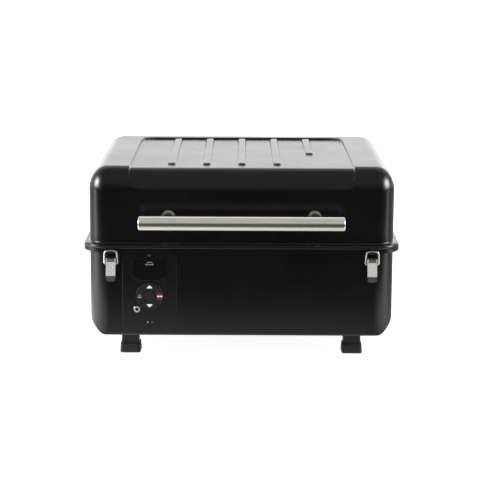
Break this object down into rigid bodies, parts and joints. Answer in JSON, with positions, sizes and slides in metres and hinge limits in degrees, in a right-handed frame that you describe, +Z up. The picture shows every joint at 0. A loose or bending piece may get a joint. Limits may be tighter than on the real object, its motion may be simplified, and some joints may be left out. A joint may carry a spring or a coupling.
{
  "type": "pellet smoker grill",
  "caption": "Portable table-top pellet smoker grill with a hinged stamped lid, tubular handle, draw latches, keypad control panel, pellet hopper, auger, fire pot and grate on short feet.",
  "frame": {"origin": "centre of the bounding box, on the plane the rubber feet stand on", "axes": "+X to the right of a person facing the control panel, +Y towards the hinges at the back, +Z up"},
  "size_m": [0.537, 0.527, 0.33],
  "materials": {
    "body_paint": "satin-gloss black, baked on",
    "lid_paint": "satin-gloss black, baked on",
    "chassis_paint": "satin black",
    "boot_rubber": "matte black",
    "zinc_steel": "zinc plated",
    "rivet_steel": "plain steel",
    "panel_plastic": "fine-grained black",
    "display_gloss": "polished black window",
    "key_rubber": "soft-touch dark grey",
    "jack_chrome": "plated",
    "board": "green lacquered board",
    "handle_steel": "brushed along its length",
    "post_paint": "satin black",
    "gasket_rope": "woven heat-proof seal",
    "hinge_steel": "plain steel",
    "latch_steel": "satin stainless",
    "bail_wire": "bright wire",
    "latch_dark": "dark steel",
    "keeper_paint": "satin black",
    "pan_steel": "aluminised sheet steel",
    "pot_steel": "heat-tinted stainless",
    "grate_enamel": "porcelain enamel",
    "galvanised": "galvanised sheet",
    "guard_wire": "plain wire",
    "knob_plastic": "black",
    "auger_steel": "plain steel",
    "motor_metal": "grey lacquer",
    "igniter_steel": "heat-tinted stainless",
    "probe_steel": "stainless",
    "fan_plastic": "black",
    "inlet_plastic": "black",
    "rocker_plastic": "black",
    "contact_brass": "plain"
  },
  "bodies": {
    "base": {"auger_motor": "motor_metal", "auger_tube": "galvanised", "body_rivets": "rivet_steel", "bottom_cover": "chassis_paint", "chassis_screws": "zinc_steel", "control_board": "board", "control_panel": "panel_plastic", "deck_plate": "chassis_paint", "display_window": "display_gloss", "drip_tray": "pan_steel", "fan_housing": "fan_plastic", "fire_pot": "pot_steel", "firebox_pan": "pan_steel", "foot_boots": "boot_rubber", "foot_brackets": "chassis_paint", "grease_cup": "pan_steel", "heat_baffle": "pan_steel", "hopper_bin": "galvanised", "hopper_guard": "guard_wire", "igniter_rod": "igniter_steel", "inlet_contacts": "contact_brass", "left_hinge_body_leaf": "hinge_steel", "left_hinge_pin": "hinge_steel", "left_latch_base": "latch_dark", "lower_shell": "body_paint", "power_inlet": "inlet_plastic", "probe_jack": "jack_chrome", "right_hinge_body_leaf": "hinge_steel", "right_hinge_pin": "hinge_steel", "right_latch_base": "latch_dark", "temperature_probe": "probe_steel"},
    "lid": {"lid_shell": "lid_paint", "lid_gasket": "gasket_rope", "exhaust_hood": "lid_paint", "handle_tube": "handle_steel", "handle_caps": "handle_steel", "handle_post_left": "post_paint", "handle_post_right": "post_paint", "handle_screws": "zinc_steel", "left_hinge_lid_leaf": "hinge_steel", "right_hinge_lid_leaf": "hinge_steel", "lid_rivets": "rivet_steel", "left_latch_keeper": "keeper_paint", "right_latch_keeper": "keeper_paint"},
    "left_lever": {"left_latch_lever": "latch_steel"},
    "right_lever": {"right_latch_lever": "latch_steel"},
    "left_bail": {"left_latch_bail": "bail_wire"},
    "right_bail": {"right_latch_bail": "bail_wire"},
    "hopper_flap": {"hopper_lid": "galvanised", "hopper_lid_pins": "galvanised", "hopper_knob": "knob_plastic"},
    "grate": {"grill_grate": "grate_enamel"},
    "auger_screw": {"auger": "auger_steel"},
    "impeller": {"fan_impeller": "fan_plastic"},
    "key_up_body": {"key_up": "key_rubber"},
    "key_down_body": {"key_down": "key_rubber"},
    "key_left_body": {"key_left": "key_rubber"},
    "key_right_body": {"key_right": "key_rubber"},
    "key_centre_body": {"key_centre": "key_rubber"},
    "rocker": {"power_rocker": "rocker_plastic"}
  },
  "joints": [
    {"name": "lid_hinge", "type": "hinge", "parent": "base", "child": "lid", "pos_m": [0, 0.2585, 0.1942], "axis": [-1, 0, 0], "range_deg": [0, 95]},
    {"name": "left_lever_pivot", "type": "hinge", "parent": "base", "child": "left_lever", "pos_m": [-0.22, -0.2025, 0.1757], "axis": [-1, 0, 0], "range_deg": [0, 100]},
    {"name": "left_bail_pivot", "type": "hinge", "parent": "left_lever", "child": "left_bail", "pos_m": [-0.22, -0.1995, 0.1685], "axis": [-1, 0, 0], "range_deg": [-90, 0]},
    {"name": "right_lever_pivot", "type": "hinge", "parent": "base", "child": "right_lever", "pos_m": [0.22, -0.2025, 0.1757], "axis": [-1, 0, 0], "range_deg": [0, 100]},
    {"name": "right_bail_pivot", "type": "hinge", "parent": "right_lever", "child": "right_bail", "pos_m": [0.22, -0.1995, 0.1685], "axis": [-1, 0, 0], "range_deg": [-90, 0]},
    {"name": "hopper_lid_hinge", "type": "hinge", "parent": "base", "child": "hopper_flap", "pos_m": [-0.2465, 0.025, 0.1864], "axis": [0, -1, 0], "range_deg": [0, 90]},
    {"name": "grate_lift", "type": "slide", "parent": "base", "child": "grate", "axis": [0, 0, 1], "range_m": [0, 0.1]},
    {"name": "auger_spin", "type": "hinge", "parent": "base", "child": "auger_screw", "pos_m": [-0.15, 0.025, 0.086], "axis": [1, 0, 0], "continuous": true},
    {"name": "fan_spin", "type": "hinge", "parent": "base", "child": "impeller", "pos_m": [-0.12, 0.139, 0.1], "axis": [1, 0, 0], "continuous": true},
    {"name": "key_up_press", "type": "slide", "parent": "base", "child": "key_up_body", "axis": [0, 1, 0], "range_m": [0, 0.0012], "stiffness_N_per_m": 900},
    {"name": "key_down_press", "type": "slide", "parent": "base", "child": "key_down_body", "axis": [0, 1, 0], "range_m": [0, 0.0012], "stiffness_N_per_m": 900},
    {"name": "key_left_press", "type": "slide", "parent": "base", "child": "key_left_body", "axis": [0, 1, 0], "range_m": [0, 0.0012], "stiffness_N_per_m": 900},
    {"name": "key_right_press", "type": "slide", "parent": "base", "child": "key_right_body", "axis": [0, 1, 0], "range_m": [0, 0.0012], "stiffness_N_per_m": 900},
    {"name": "key_centre_press", "type": "slide", "parent": "base", "child": "key_centre_body", "axis": [0, 1, 0], "range_m": [0, 0.0012], "stiffness_N_per_m": 900},
    {"name": "rocker_tilt", "type": "hinge", "parent": "base", "child": "rocker", "pos_m": [-0.19, 0.243, 0.119], "axis": [-1, 0, 0], "range_deg": [0, 16]}
  ],
  "couplings": [
    {"joint": "left_bail_pivot", "follows": "left_lever_pivot", "ratio": -0.75},
    {"joint": "right_bail_pivot", "follows": "right_lever_pivot", "ratio": -0.75}
  ]
}
